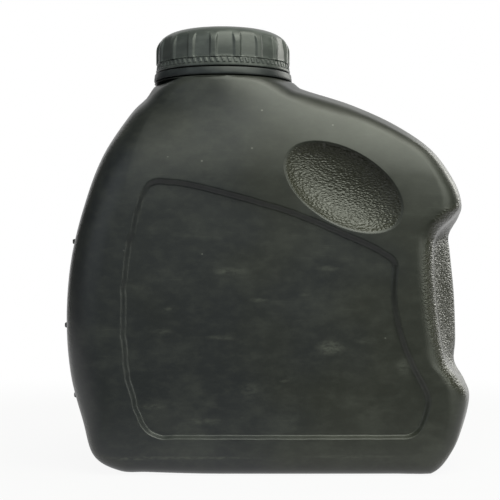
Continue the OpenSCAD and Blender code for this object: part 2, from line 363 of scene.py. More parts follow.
@dataclass(frozen=True)
class Panel:
    """The label panel's recess in a face."""

    depth: float = 1.75
    step: float = 1.3
    # Where the wall's rings lie, measured inwards from the panel's outline.
    rings: tuple[float, ...] = (-0.9, -0.65, -0.4, -0.15, 0.15, 0.45, 0.75, 1.05, 1.3, 1.5, 1.8)
    wall_start: float = -0.75
    wall_end: float = 1.6
    low_squeeze: float = 0.4
    wobble: float = 0.3
    # The wall's waviness: how many waves go round the outline, where they start, their share.
    waves: tuple[Triple, ...] = ((23, 1, 0.5), (41, 0, 0.35), (64, 2, 0.25))
    calm: float = 0.2
    calm_x: float = -30.0
    calm_run: float = 10.0
    # Corners: shares of half the width and of the shoulder's height, then how far each is cut.
    corners: tuple[Triple, ...] = (
        (-0.565, 0.732, 3.5),
        (-0.415, 0.732, 6),
        (-0.203, 0.705, 8),
        (0.132, 0.655, 10),
        (0.507, 0.568, 3),
        (0.608, 0.535, 3),
        (0.593, 0.43, 8),
        (0.644, 0.32, 8),
        (0.77, 0.19, 4),
        (0.73, 0.122, 3),
        (0.68, 0.095, 3),
        (-0.557, 0.095, 5),
        (-0.618, 0.16, 5),
        (-0.669, 0.26, 8),
        (-0.684, 0.4, 12),
        (-0.669, 0.54, 12),
        (-0.608, 0.67, 8),
    )


@dataclass(frozen=True)
class Dish:
    """The bowl in a face that the thumb rests in."""

    x: float = 26.4
    z: float = 100.2
    length: float = 44.8
    width: float = 25.4
    depth: float = 6.0
    out: float = 3.0
    tilt: float = 30.5
    edge: float = 0.8
    grain_fade: float = 0.04
    points: int = 120
    # The rings' sizes, as shares of the rim: close at its rounded edge, then wider apart.
    edge_rings: tuple[float, ...] = (1.036, 1.025, 1.016, 1.008, 1.0, 0.992, 0.983, 0.972)
    bowl_rings: tuple[float, ...] = (0.957, 0.937, 0.91, 0.87, 0.82, 0.76, 0.69, 0.61)
    floor_rings: tuple[float, ...] = (0.52, 0.42, 0.31, 0.19, 0.07)

    def loop(self, share: float) -> np.ndarray:
        """The rim's ellipse, made larger or smaller by a share, as rows of x and z."""
        turn = np.arange(self.points) * 2 * math.pi / self.points
        u, v = share * self.length / 2 * np.cos(turn), share * self.width / 2 * np.sin(turn)
        lean = math.radians(self.tilt)
        x = self.x + u * math.cos(lean) + v * math.sin(lean)
        z = self.z - u * math.sin(lean) + v * math.cos(lean)
        return np.stack([x, z], axis=1)

    def sunk(self, share: float) -> float:
        """How deep the bowl is at a ring, with the rim's edge rounded over."""
        full = self.depth + self.out
        flat = 1 - (self.out / full) ** 2
        bowl = full * math.sqrt(max(1 - flat * share**2, 0)) - self.out
        if abs(bowl) < self.edge:
            return (bowl + self.edge) ** 2 / (4 * self.edge)
        return max(bowl, 0)


@dataclass
class Bottle:
    """The blown shell: its body, recesses, neck, thread, bead and level marks."""

    body_w: float = 148.0
    body_d: float = 66.0
    shoulder_z: float = 140.0
    wall: float = 1.2
    # The middle that the side leans in towards: how far it reaches to either side, as a share of
    # half the width, and its lower and upper end, as shares of the shoulder's height.
    core: Triple = (0.4, 0.3, 0.62)
    # The face: how far its shoulder leans back, how crowned it is, and how it grows rounder
    # from side to side, to the left and to the right of the middle.
    shoulder_lean: float = 7.0
    lean_start: float = 104.0
    lean_power: float = 1.5
    crown: float = 0.03
    neck_round: float = 0.8
    crest_round: float = 0.62
    round_start: float = 91.0
    round_rise: float = 49.0
    round_power: float = 1.6
    # The base: its upward bow at the left, its push-up and the rim round that.
    bow: float = 0.03
    bow_start: float = -0.2
    base_push_up: float = 1.5
    base_rim_w: float = 12.0
    base_slope: float = 3.0
    base_fade: float = 2.0
    foot_right: float = 0.775
    foot_left: float = -0.7
    # The flash of the mould's parting line, and how far it is pinched under the base.
    seam: float = 0.14
    pinch: float = 0.5
    pinch_reach: float = 0.75
    # The grip: its flat spine and the slope beside it, as shares of half the depth.
    spine_half: float = 0.1
    scoop_slope: float = 0.45
    # The neck, its collar, thread and bead, and how far under the collar the shell is cut off.
    neck_x: float = -16.0
    neck_r: float = 21.2
    neck_wall: float = 2.0
    collar_r: float = 25.4
    ledge_depth: float = 25.9
    rim_z: float = 155.6
    bead_z: float = 142.2
    bead_h: float = 1.4
    thread_z: float = 145.5
    thread_turns: float = 1.75
    top_cut: float = 0.65
    # The shoulder's rise to the collar.
    dome_lift: float = 2.0
    dome_h: float = 14.0
    dome_fade: float = 10.0
    dome_tuck: float = 0.7
    dome_spread: float = 1.5
    # How far the lifted shoulder reaches to the left of the collar, in front and to the right.
    dome_reach: Triple = (1.6, 12.0, 2.4)
    # The mould's grain on the sides: how far it runs over the edges, and where it fades out.
    grain_reach: float = 3.0
    grain_turn: float = 1.4
    grain_fade: float = 2.6
    grain_right: float = 48.0
    grain_left: float = 44.0
    grain_run: float = 12.0
    grain_low: float = 5.0
    # The level marks on the narrow left side.
    mark_heights: tuple[float, ...] = (25.5, 51.0, 81.5)
    mark_h: float = 1.8
    mark_proud: float = 1.0
    mark_l: float = 16.0
    mark_corner: tuple[tuple[float, float], ...] = ((0.45, 0), (0.12, 0.12), (0, 0.45))
    # How finely the outer surface and the lining are meshed.
    neck_points: int = 160
    fill_step: float = 2.1
    lining_step: float = 7.0
    row_steps: int = 9
    lining_row_steps: int = 4
    side_levels: int = 19
    side_crowding: float = 1.15
    seam_shares: Triple = (0, 0.012, 0.03)
    lining_shares: tuple[float, ...] = (0, 0.3, 0.6, 0.85)
    edge_levels: int = 10
    lining_edge_levels: int = 5
    panel: Panel = Panel()
    dish: Dish = Dish()
    thread: Thread = Thread()
    # The parting line, clockwise from the right of the collar: x and z as shares of half the
    # width and of the shoulder's height, then how far the side leans in, the radius of the
    # face's edge, and how far the finger scoop cuts in.
    right_rows: tuple[tuple[float, ...], ...] = (
        (0.218, 0.977, 5, 4.5, 0),
        (0.42, 0.9425, 5, 3.5, 0),
        (0.632, 0.891, 5, 3, 0),
        (0.81, 0.825, 5, 3.2, 0),
        (0.924, 0.742, 5.5, 4.5, 0),
        (0.967, 0.68, 5.5, 6, 0.5),
        (0.954, 0.645, 5.5, 6.5, 2),
        (0.909, 0.6, 5, 6, 4.5),
        (0.915, 0.55, 4.5, 5.5, 6.5),
        (0.934, 0.445, 4, 5.5, 7.5),
        (0.941, 0.33, 4, 5.5, 6),
        (0.935, 0.27, 4.5, 6, 3.2),
        (0.981, 0.224, 6, 6.5, 1.2),
        (1.006, 0.178, 6.5, 6.5, 0.5),
        (0.967, 0.105, 6, 5, 0),
        (0.903, 0.04, 4.3, 5, 0),
    )
    left_rows: tuple[tuple[float, ...], ...] = (
        (-0.834, 0.038, 2, 6, 0),
        (-0.901, 0.12, 4, 9, 0),
        (-0.9655, 0.24, 5, 11, 0),
        (-0.986, 0.385, 5, 11, 0),
        (-0.9625, 0.54, 5, 11, 0),
        (-0.889, 0.695, 5, 11, 0),
        (-0.804, 0.812, 5, 10, 0),
        (-0.682, 0.912, 4.5, 8, 0),
        (-0.613, 0.952, 4.5, 6, 0),
    )
    foot_shares: tuple[float, ...] = (0.6, 0.31, 0.0, -0.31, -0.56)

    def __post_init__(self) -> None:
        """Works out what follows from the sizes."""
        self.half_w = self.body_w / 2
        self.half_d = self.body_d / 2
        self.center = Vector((self.neck_x, 0, 0))
        self.middle_x = self.core[0] * self.half_w
        self.middle_z = [share * self.shoulder_z for share in self.core[1:]]
        right = np.array([row[:2] for row in self.right_rows[:6]])[::-1]
        left = np.array([row[:2] for row in self.left_rows])
        top = (self.neck_x + np.array([-self.collar_r, self.collar_r])) / self.half_w
        self.right_edge = np.append(right, [[top[1], 0.99]], axis=0)
        self.left_edge = np.append(left, [[top[0], 0.99]], axis=0)

    def rows(self, steps: int) -> np.ndarray:
        """The parting line's rows in millimetres, with steps points for each of its corners."""
        ends = [self.neck_x + side * self.collar_r for side in (1, -1, -0.5, 0, 0.5)]
        right, left, back, middle, front = (x / self.half_w for x in ends)
        feet = (self.foot_right, *self.foot_shares, self.foot_left)
        foot = [(x, self.bow * max(self.bow_start - x, 0) ** 2, 0, 6.5, 0) for x in feet]
        last = [(left + 0.022, 0.982, 4.5, 5, 0)]
        neck = [(back, 1, 2, 3, 0), (middle, 1, 1, 3, 0), (front, 1, 2, 3, 0)]
        sides = [(right, 0.992, 5, 4, 0), *self.right_rows, *foot, *self.left_rows]
        table = np.array(sides + last + neck, float)
        curve = smooth_loop(table, steps)
        curve[:, 0] *= self.half_w
        curve[:, 1] = np.clip(curve[:, 1], 0, 1) * self.shoulder_z
        return curve

    def face_depth(self, x: np.ndarray, z: np.ndarray) -> np.ndarray:
        """Half the depth of the shell at a place on its face.

        The face is slightly crowned, and grows rounder from side to side towards the neck.
        """
        lean = np.clip((z - self.lean_start) / (self.shoulder_z - self.lean_start), 0, 1)
        share = z / self.shoulder_z
        ends = [
            self.half_w * np.interp(share, edge[:, 1], edge[:, 0])
            for edge in (self.left_edge, self.right_edge)
        ]
        across = np.clip((2 * x - ends[0] - ends[1]) / (ends[1] - ends[0]), -1.05, 1.05)
        rise = np.clip((z - self.round_start) / self.round_rise, 0, 1) ** self.round_power
        bend = 2 * self.crown + np.where(across < 0, self.neck_round, self.crest_round) * rise
        crowned = 1 - self.crown * (2 * share - 1) ** 2
        upright = self.half_d - self.shoulder_lean * lean**self.lean_power
        return upright * crowned * np.sqrt(1 - bend * across**2)

    def lift_dome(self, bm: BMesh) -> None:
        """Raises the shoulder round the neck, so that it runs smoothly up to the collar."""
        left, front, right = self.dome_reach
        for vert in bm.verts:
            radius = math.hypot(vert.co.x - self.center.x, vert.co.y)
            forward = abs(vert.co.y) / max(radius, 1)
            side = left if vert.co.x < self.center.x else right
            start = self.collar_r - self.dome_tuck + self.dome_spread * forward
            reach = side + (front - side) * forward
            high = soft((vert.co.z - self.shoulder_z + self.dome_h) / self.dome_fade)
            vert.co.z += self.dome_lift * (1 - soft((radius - start) / reach)) * high

    def base_rise(self, x: np.ndarray, y: np.ndarray) -> np.ndarray:
        """The share of the push-up that the base has at a place under the bottle."""
        radius = self.half_d - self.base_rim_w
        left = self.foot_left * self.half_w + self.base_rim_w + radius
        right = self.foot_right * self.half_w - self.base_rim_w - radius
        reach = np.hypot(x - np.clip(x, left, right), y)
        return eased((radius - reach) / self.base_slope)

    def level(self, rows: np.ndarray, y: np.ndarray, inset: np.ndarray, skin: float) -> np.ndarray:
        """Points over the parting line.

        Args:
            rows: The parting line's rows.
            y: The nominal depth of each point from the mid plane.
            inset: How far each point lies in from the parting line.
            skin: The distance in from the outer surface.

        Returns:
            The points, as rows of x, y and z, in the front half.
        """
        x0, z0 = rows[:, 0], rows[:, 1]
        inner_x = np.clip(x0, -self.middle_x, self.middle_x)
        away = np.stack([inner_x - x0, np.clip(z0, *self.middle_z) - z0], axis=1)
        away *= ((inset + skin) / np.linalg.norm(away, axis=1))[:, None]
        x = x0 + away[:, 0]
        z = np.clip(z0 + away[:, 1], skin, self.shoulder_z - skin)
        depth = y / self.half_d * (self.face_depth(x, z) - skin)
        rise = self.base_rise(x, depth) * np.clip(1 - (z - skin) / self.base_fade, 0, 1)
        return np.stack([x, -depth, z + self.base_push_up * rise], axis=1)

    def lean_in(self, rows: np.ndarray, y: np.ndarray) -> np.ndarray:
        """How far the side lies in from the parting line at a depth, by its lean and the scoop."""
        scoop = rows[:, 4] * eased((y / self.half_d - self.spine_half) / self.scoop_slope)
        return rows[:, 2] * (y / self.half_d) ** 2 + scoop

    def side_level(self, rows: np.ndarray, share: float, skin: float) -> np.ndarray:
        """Points of the side, at a share of the way from the parting line to the face's edge."""
        y = share * (self.half_d - rows[:, 3])
        points = self.level(rows, y, self.lean_in(rows, y), skin)
        if share == 0 and skin == 0:
            under = np.abs(rows[:, 0]) < self.pinch_reach * self.half_w
            on_base = under & (rows[:, 1] < self.base_push_up)
            proud = np.where(on_base, self.pinch * self.base_rise(points[:, 0], 0), self.seam)
            away = np.stack([points[:, 0], points[:, 2] - self.middle_z[0]], axis=1)
            away[on_base] = (0, -1)
            away /= np.linalg.norm(away, axis=1)[:, None]
            points[:, [0, 2]] += away * proud[:, None]
        return points

    def edge_level(self, rows: np.ndarray, angle: float, skin: float) -> np.ndarray:
        """Points of the rounded edge between side and face, at an angle from the side."""
        turn = math.radians(angle)
        y = self.half_d - rows[:, 3] * (1 - math.sin(turn))
        inset = self.lean_in(rows, y) + rows[:, 3] * (1 - math.cos(turn))
        return self.level(rows, y, inset, skin)

    def on_face(self, flat: np.ndarray, sunk: float, skin: float) -> np.ndarray:
        """Points on the front face over rows of x and z, sunk below it."""
        y = self.face_depth(flat[:, 0], flat[:, 1]) - sunk - skin
        return np.stack([flat[:, 0], -y, flat[:, 1]], axis=1)

    def fill(self, bm: BMesh, outer: Ring, holes: list[Ring], sunk: float, skin: float) -> None:
        """Closes a stretch of the face between rings, with evenly spread points on its surface.

        The label panel's outline runs past the dish and the grip at a slant, so no grid fits
        between them, and the stretch is triangulated.

        Args:
            bm: The mesh.
            outer: The ring round the stretch.
            holes: Rings of the recesses in it.
            sunk: How far the stretch lies below the face.
            skin: The distance in from the outer surface.
        """
        step = self.fill_step if skin == 0 else self.lining_step
        loops = [np.array([(v.co.x, v.co.z) for v in ring]) for ring in (outer, *holes)]
        rims = [v for ring in (outer, *holes) for v in ring]
        flat = np.concatenate([*loops, spread_points(loops[0], loops[1:], step)])
        edges, first = [], 0
        for loop in loops:
            edges += [(first + i, first + (i + 1) % len(loop)) for i in range(len(loop))]
            first += len(loop)
        placed = delaunay_2d_cdt([Vector(p) for p in flat], edges, [], 1, 1e-7)
        spots = np.array([tuple(p) for p in placed[0]])
        verts = [
            rims[source[0]] if source and source[0] < len(rims) else bm.verts.new(point)
            for source, point in zip(placed[3], self.on_face(spots, sunk, skin))
        ]
        middles = np.array([spots[list(face)].mean(axis=0) for face in placed[2]])
        for face, keep in zip(placed[2], clear_of(middles, loops[1:])):
            if keep:
                bm.faces.new([verts[i] for i in face])

    def sink_panel(self, bm: BMesh, skin: float) -> Ring:
        """Adds the label panel's wall and floor, and returns the ring round its mouth."""
        panel = self.panel
        corners = [(x * self.half_w, z * self.shoulder_z, cut) for x, z, cut in panel.corners]
        outline = rounded_loop(corners, panel.step if skin == 0 else 3 * panel.step)
        turn = inward(outline)
        way = np.arange(len(outline)) * 2 * math.pi / len(outline)
        waves = sum(np.sin(count * way + start) * share for count, start, share in panel.waves)
        left = eased((panel.calm_x - outline[:, 0]) / panel.calm_run)
        strength = panel.wobble * (left * (1 - panel.calm) + panel.calm)
        outline = outline + turn * (strength * waves)[:, None]
        squeeze = (1 - panel.low_squeeze * np.clip(turn[:, 1], 0, 1))[:, None]
        levels = []
        for offset in panel.rings if skin == 0 else (panel.rings[0], panel.wall_end):
            share = (offset - panel.wall_start) / (panel.wall_end - panel.wall_start)
            sunk = panel.depth * soft(share)
            levels.append(self.on_face(outline + turn * squeeze * offset, sunk, skin))
        mouth, foot = loft(bm, levels)
        self.fill(bm, foot, [], panel.depth, skin)
        return mouth

    def sink_dish(self, bm: BMesh, skin: float, grain: bmesh.types.BMLayerItem) -> Ring:
        """Adds the thumb dish's bowl, and returns the ring round its mouth."""
        dish = self.dish
        rings = dish.edge_rings + dish.bowl_rings + dish.floor_rings
        shares = rings if skin == 0 else rings[::4] + rings[-1:]
        ring: Ring = []
        mouth: Ring = []
        for share in shares:
            flat = dish.loop(share)[:: 1 if skin == 0 else 3]
            points = self.on_face(flat, dish.sunk(share), skin)
            ring = extrude_ring(bm, ring, points) if ring else draw_ring(bm, points)
            for vert in ring:
                vert[grain] = soft((1.0 - share) / dish.grain_fade)
            mouth = mouth or ring
        bm.faces.new(ring)
        return mouth

    def half_shell(self, skin: float) -> BMesh:
        """Builds one of the bottle's two surfaces, open at the top.

        Args:
            skin: The distance in from the outer surface: 0 outside, or the wall's thickness.

        Returns:
            A mesh of the whole surface, cut off level under the collar.
        """
        bm = bmesh.new()
        grain = bm.verts.layers.float.new("grain")
        if skin == 0:
            rows, turns = self.rows(self.row_steps), self.edge_levels
            sides = np.linspace(0, 1, self.side_levels) ** self.side_crowding
            shares = (*self.seam_shares, *sides[1:-1])
        else:
            rows, turns = self.rows(self.lining_row_steps), self.lining_edge_levels
            shares = self.lining_shares
        levels = [self.side_level(rows, share, skin) for share in shares]
        levels += [self.edge_level(rows, angle, skin) for angle in np.linspace(0, 90, turns)]
        ring = loft(bm, levels)[1]
        recesses = [self.sink_panel(bm, skin), self.sink_dish(bm, skin, grain)]
        self.fill(bm, ring, recesses, 0, skin)
        if skin == 0:
            self.mark_grain(bm, rows, grain)
        matrix = Matrix.Identity(4)
        bmesh.ops.mirror(bm, geom=everything(bm), matrix=matrix, merge_dist=1e-4, axis="Y")
        bmesh.ops.remove_doubles(bm, verts=list(bm.verts), dist=1e-4)
        self.lift_dome(bm)
        cut = Vector((0, 0, self.shoulder_z - self.top_cut - skin))
        bmesh.ops.bisect_plane(
            bm, geom=everything(bm), plane_co=cut, plane_no=UP, clear_outer=True
        )
        return bm

    def mark_grain(self, bm: BMesh, rows: np.ndarray, grain: bmesh.types.BMLayerItem) -> None:
        """Writes how much of the mould's grain each place of the side carries.

        The grain covers the side between the lugs and runs over the grip's edge on to the face.
        """
        tree = nearest(rows[:, :2])
        for vert in bm.verts:
            where, i, far = tree.find((vert.co.x, vert.co.z, 0))
            reach = self.grain_reach + self.grain_turn * rows[i, 4]
            near = 1 - soft((far - reach) / self.grain_fade)
            right = Grain.FULL.value * soft((where.x - self.grain_right) / self.grain_run)
            left = Grain.LIGHT.value * soft((-where.x - self.grain_left) / self.grain_run)
            standing = soft((vert.co.z - self.base_push_up) / self.grain_low)
            vert[grain] = max(vert[grain], (right + left) * near * standing)

    def neck(self, bm: BMesh) -> None:
        """Adds the collar, the neck and its bore between the two open surfaces."""
        top, collar = self.shoulder_z, self.collar_r
        bore = self.neck_r - self.neck_wall
        profile = (
            (collar - 0.1, top - 0.45),
            (collar - 0.3, top - 0.25),
            (collar - 0.6, top - 0.08),
            (collar - 1.1, top),
            (self.neck_r + 0.8, top),
            (self.neck_r + 0.25, top + 0.15),
            (self.neck_r, top + 0.6),
            (self.neck_r, self.rim_z - 0.5),
            (self.neck_r - 0.15, self.rim_z - 0.15),
            (self.neck_r - 0.5, self.rim_z),
            (bore + 0.4, self.rim_z),
            (bore + 0.1, self.rim_z - 0.1),
            (bore, self.rim_z - 0.4),
            (bore, top - 0.5),
            (bore + 0.2, top - 1.5),
        )
        levels = [circle_points(self.center, radius, z, self.neck_points) for radius, z in profile]
        for (radius, _), points in zip(profile, levels):
            deeper = soft((radius - self.neck_r - 1) / 3)
            points[:, 1] *= 1 + deeper * (self.ledge_depth / collar - 1)
        for rim, skin in zip(loft(bm, levels), (0, self.wall)):
            edges = open_edges(bm, self.shoulder_z - self.top_cut - skin) + ring_edges(bm, rim)
            bmesh.ops.bridge_loops(bm, edges=edges)

    def level_marks(self, bm: BMesh) -> None:
        """Adds the short ribs on the narrow left side, curved with it."""
        rows = self.rows(self.row_steps)
        left = rows[(rows[:, 0] < 0) & (rows[:, 1] > 5) & (rows[:, 1] < 0.9 * self.shoulder_z)]
        order = np.argsort(left[:, 1])
        half_h, proud = self.mark_h / 2, self.mark_proud
        upper = [(proud, half_h)]
        for across, down in self.mark_corner:
            upper.append((-proud + across, half_h - down))
        section = np.array(upper + [(x, -z) for x, z in reversed(upper)])
        for z in self.mark_heights:
            x, lean = (np.interp(z, left[order, 1], left[order, i]) for i in (0, 2))
            levels = []
            for share in (-1, -0.98, -0.94, -0.85, -0.6, -0.3, 0, 0.3, 0.6, 0.85, 0.94, 0.98, 1):
                y = share * self.mark_l / 2
                grown = section * (1 - 0.5 * max(abs(share) - 0.9, 0) / 0.1, 1)
                points = np.insert(grown, 1, y, axis=1)
                levels.append(points + (x + lean * (y / self.half_d) ** 2, 0, z))
            for ring in loft(bm, levels):
                bm.faces.new(ring)

    def build(self) -> BMesh:
        """Builds the bottle as one closed skin, with its bead, thread and marks on it."""
        bm = self.half_shell(0)
        take_in(bm, self.half_shell(self.wall))
        self.neck(bm)
        trim = bmesh.new()
        inner = self.neck_r - 0.4
        bead = (
            (inner, self.bead_z),
            (self.neck_r + 1.0, self.bead_z),
            (self.neck_r + 1.2, self.bead_z + 0.2),
            (self.neck_r + 1.15, self.bead_z + 0.45),
            (self.neck_r + 0.5, self.bead_z + self.bead_h),
            (inner, self.bead_z + self.bead_h),
            (inner, self.bead_z),
        )
        turned(trim, self.center, bead, self.neck_points)
        self.thread.cut(trim, self.center, self.neck_r, self.thread_z, self.thread_turns, Stand.OUT)
        self.level_marks(trim)
        take_in(bm, trim)
        return bm


@dataclass
class ScrewCap:
    """The moulded cap: its domed top, ridged skirt, row of teeth and inner thread."""

    center: Vector
    low_z: float
    top_z: float
    outer_r: float
    bore_r: float = 22.8
    top_t: float = 1.9
    dome_r: float = 7.2
    dome_reach: float = 10.5
    ceiling_r: float = 3.0
    ribs: int = 18
    rib_w: float = 1.3
    rib_flank: float = 1.0
    rib_phase: float = 6.9
    flute_depth: float = 0.75
    flute_curl: float = 0.025
    flute_curl_h: float = 2.5
    flute_foot: float = 0.5
    foot_h: float = 0.95
    teeth_h: float = 2.2
    teeth: int = 72
    teeth_proud: float = 0.28
    teeth_slant: float = 1.6
    teeth_lean: float = 0.25
    tooth_half: float = 0.25
    tooth_ends: tuple[float, float] = (0.08, 0.92)
    tooth_rise: float = 0.9
    skirt_step: float = 0.08
    thread_z: float = 147.5
    thread_turns: float = 1.5
    steps: int = 720
    thread: Thread = Thread()

    def profile(self) -> list[tuple[float, float]]:
        """The section's corners, from the middle of the top round to the middle of the ceiling."""
        skirt = self.outer_r - self.skirt_step
        foot_top = self.low_z + self.foot_h
        teeth_top = foot_top + self.teeth_h
        dome_z = self.top_z - self.dome_r
        rows = [(0.0, self.top_z - 0.25), (8.0, self.top_z - 0.2), (12.0, self.top_z - 0.06)]
        for turn in np.linspace(90, 0, 16):
            a = math.radians(turn)
            radius = skirt - self.dome_reach * (1 - math.cos(a))
            rows.append((radius, dome_z + self.dome_r * math.sin(a)))
        rows += [(skirt, z) for z in np.linspace(dome_z - 0.8, teeth_top + 0.6, 6)]
        band = skirt - self.teeth_proud
        rows += [(skirt, teeth_top + dz) for dz in (0.4, 0.2, 0.05)]
        for share in np.linspace(1, 0, 7):
            z = foot_top + 0.15 + share * (self.teeth_h - 0.25)
            rows.append((band - self.teeth_lean * share, z))
        rows += [(self.outer_r - 0.1, foot_top), (self.outer_r, foot_top - 0.12)]
        rows += [(self.outer_r, self.low_z + 0.25), (self.outer_r - 0.2, self.low_z)]
        rows += [(self.bore_r + 0.3, self.low_z), (self.bore_r, self.low_z + 0.3)]
        ceiling = self.top_z - self.top_t
        for turn in np.linspace(0, 90, 6):
            a = math.radians(turn)
            radius = self.bore_r - self.ceiling_r * (1 - math.cos(a))
            rows.append((radius, ceiling - self.ceiling_r * (1 - math.sin(a))))
        rows += [(12.0, ceiling), (0.0, ceiling)]
        return rows

    def shape_skirt(self, verts: Ring) -> None:
        """Presses the flutes in and draws the teeth out, on a turned blank's skirt."""
        skirt = self.outer_r - self.skirt_step
        teeth_low = self.low_z + self.foot_h
        teeth_top = teeth_low + self.teeth_h
        dome_z = self.top_z - self.dome_r
        pitch = 360 / self.ribs
        half_rib, flank = (math.degrees(w / skirt) for w in (self.rib_w / 2, self.rib_flank))
        tooth_low, tooth_high = self.tooth_ends
        for vert in verts:
            arm = Vector((vert.co.x - self.center.x, vert.co.y - self.center.y, 0))
            if arm.length < self.bore_r + 0.4 or vert.co.z < teeth_low + 0.05:
                continue
            angle = math.degrees(math.atan2(arm.y, arm.x))
            off_rib = abs((angle + 90 + self.rib_phase + pitch / 2) % pitch - pitch / 2)
            if vert.co.z > teeth_top:
                side = soft((off_rib - half_rib) / flank)
                rise = soft((vert.co.z - teeth_top) / self.flute_foot)
                above = max(vert.co.z - dome_z + self.flute_curl_h, 0)
                depth = self.flute_depth + self.flute_curl * above**2
                flat = (skirt - depth) / math.cos(math.radians(pitch / 2 - off_rib))
                sunk = rise * (skirt - min(flat, skirt)) + self.teeth_proud * (1 - rise)
                arm.length = min(arm.length, skirt - sunk * side)
            else:
                height = (vert.co.z - teeth_low) / self.teeth_h
                lean = angle + self.teeth_slant * height
                tooth = abs((lean * self.teeth / 360) % 1 - 0.5)
                if tooth < self.tooth_half and tooth_low < height < tooth_high:
                    arm.length += self.teeth_proud * self.tooth_rise
            vert.co.x, vert.co.y = self.center.x + arm.x, self.center.y + arm.y

    def build(self) -> BMesh:
        """Builds the cap as a closed skin with its thread's ridge."""
        bm = bmesh.new()
        verts = turned(bm, self.center, self.profile(), self.steps)
        self.shape_skirt(verts)
        ridge = bmesh.new()
        self.thread.cut(ridge, self.center, self.bore_r, self.thread_z, self.thread_turns, Stand.IN)
        take_in(bm, ridge)
        return bm


@dataclass
class TamperRing:
    """The loose band under the cap, with the stubs of its torn bridges."""

    center: Vector
    low_z: float
    top_z: float
    outer_r: float
    bore_r: float = 22.7
    lip_r: float = 21.5
    lip_low: float = 140.3
    lip_h: float = 1.6
    stubs: int = 14
    stub: Triple = (0.7, 0.8, 0.44)
    stub_in: float = 1.6
    stub_phase: float = 0.3
    steps: int = 240

    def build(self) -> BMesh:
        """Builds the band with its lip and stubs."""
        bm = bmesh.new()
        low, top, out = self.low_z, self.top_z, self.outer_r
        profile = (
            (self.lip_r, self.lip_low),
            (self.bore_r, self.lip_low),
            (self.bore_r + 0.4, low),
            (out - 0.4, low),
            (out - 0.12, low + 0.1),
            (out, low + 0.4),
            (out - 0.06, low + 0.9),
            (out - 0.22, top - 0.3),
            (out - 0.36, top - 0.08),
            (out - 0.62, top),
            (self.bore_r, top),
            (self.bore_r, self.lip_low + self.lip_h),
            (self.lip_r, self.lip_low + self.lip_h),
            (self.lip_r, self.lip_low),
        )
        turned(bm, self.center, profile, self.steps)
        for i in range(self.stubs):
            made = bmesh.ops.create_cube(bm, size=1)["verts"]
            bmesh.ops.scale(bm, vec=self.stub, verts=made)
            bmesh.ops.translate(bm, vec=(out - self.stub_in, 0, top), verts=made)
            turn = Matrix.Rotation(2 * math.pi * (i + self.stub_phase) / self.stubs, 3, "Z")
            bmesh.ops.rotate(bm, cent=(0, 0, 0), matrix=turn, verts=made)
            bmesh.ops.translate(bm, vec=self.center, verts=made)
        return bm


@dataclass
class Liner:
    """The foam disc that seals the neck's rim."""

    center: Vector
    low_z: float
    top_z: float
    outer_r: float
    steps: int = 128

    def build(self) -> BMesh:
        """Builds the disc with softly rounded edges and the rim's pressed ring."""
        bm = bmesh.new()
        low, top, out = self.low_z, self.top_z, self.outer_r
        profile = (
            (0.0, top),
            (out - 0.25, top),
            (out, top - 0.2),
            (out, low + 0.2),
            (out - 0.25, low),
            (out - 1.2, low + 0.06),
            (out - 1.9, low + 0.03),
            (out - 2.4, low),
            (0.0, low),
        )
        turned(bm, self.center, profile, self.steps)
        return bm


class Signal:
    """A shader value, to which Python's operators add Math nodes."""

    def __init__(self, graph: "Graph", socket: bpy.types.NodeSocket) -> None:
        """Wraps an output socket of a graph."""
        self.graph = graph
        self.socket = socket

    def combined(self, operation: str, *values: "Signal | float") -> "Signal":
        """Adds a Math node over values, in their order."""
        return self.graph.node("ShaderNodeMath", {"operation": operation}, *values)

    def __add__(self, other: "Signal | float") -> "Signal":
        """Sum."""
        return self.combined("ADD", self, other)

    def __sub__(self, other: "Signal | float") -> "Signal":
        """Difference."""
        return self.combined("SUBTRACT", self, other)

    def __rsub__(self, other: float) -> "Signal":
        """Difference from a number on the left."""
        return self.combined("SUBTRACT", other, self)

    def __mul__(self, other: "Signal | float") -> "Signal":
        """Product."""
        return self.combined("MULTIPLY", self, other)

    __radd__ = __add__
    __rmul__ = __mul__

    def between(self, low: float, high: float) -> "Signal":
        """A soft step from 0 at low to 1 at high."""
        settings = {"interpolation_type": "SMOOTHSTEP"}
        return self.graph.node("ShaderNodeMapRange", settings, self, low, high, 0.0, 1.0)

    def larger(self, other: "Signal | float") -> "Signal":
        """The larger of two values."""
        return self.combined("MAXIMUM", self, other)


